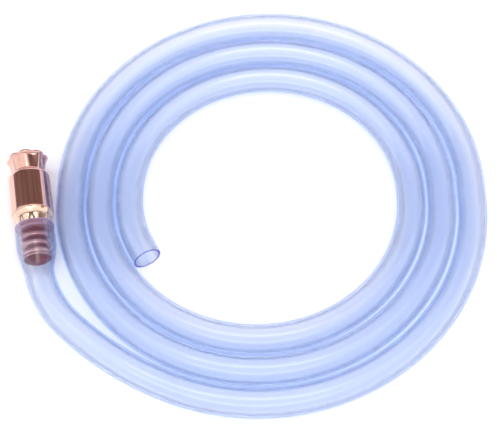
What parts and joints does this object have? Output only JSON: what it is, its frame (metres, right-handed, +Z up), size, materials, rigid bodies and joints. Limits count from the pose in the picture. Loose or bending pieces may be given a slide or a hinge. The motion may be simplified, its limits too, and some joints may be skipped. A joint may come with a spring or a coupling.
{
  "type": "self-priming siphon hose",
  "caption": "Coiled clear siphon hose with a polished copper shaker valve: fluted inlet crown, check ball and ridged tail.",
  "frame": {"origin": "on the floor, under the middle of the part's bounding box", "axes": "+Z up, the coil lies in XY, the valve points to +Y on the -X side"},
  "size_m": [0.2563, 0.2464, 0.0226],
  "materials": {
    "clear_hose": "clear gloss",
    "copper": "polished",
    "seal_rubber": "satin",
    "ball_glass": "polished",
    "pin_steel": "brushed"
  },
  "bodies": {
    "coil": {"hose_coil": "clear_hose"},
    "lead": {"hose_lead": "clear_hose", "barbed_tail": "copper", "valve_barrel": "copper", "inlet_crown": "copper", "seat_ring": "seal_rubber", "stop_pin": "pin_steel"},
    "ball": {"check_ball": "ball_glass"},
    "outlet": {"hose_outlet": "clear_hose"}
  },
  "joints": [
    {"name": "lead_lift", "type": "hinge", "parent": "coil", "child": "lead", "pos_m": [-0.03128, -0.10936, 0.0152], "axis": [0.3256, 0.9455, 0], "range_deg": [0, 45]},
    {"name": "ball_travel", "type": "slide", "parent": "lead", "child": "ball", "axis": [0.1734, -0.9847, -0.0161], "range_m": [0, 0.004]},
    {"name": "outlet_lift", "type": "hinge", "parent": "coil", "child": "outlet", "pos_m": [-0.02454, 0.0692, 0.0152], "axis": [-0.5, 0.866, 0], "range_deg": [0, 40]}
  ]
}
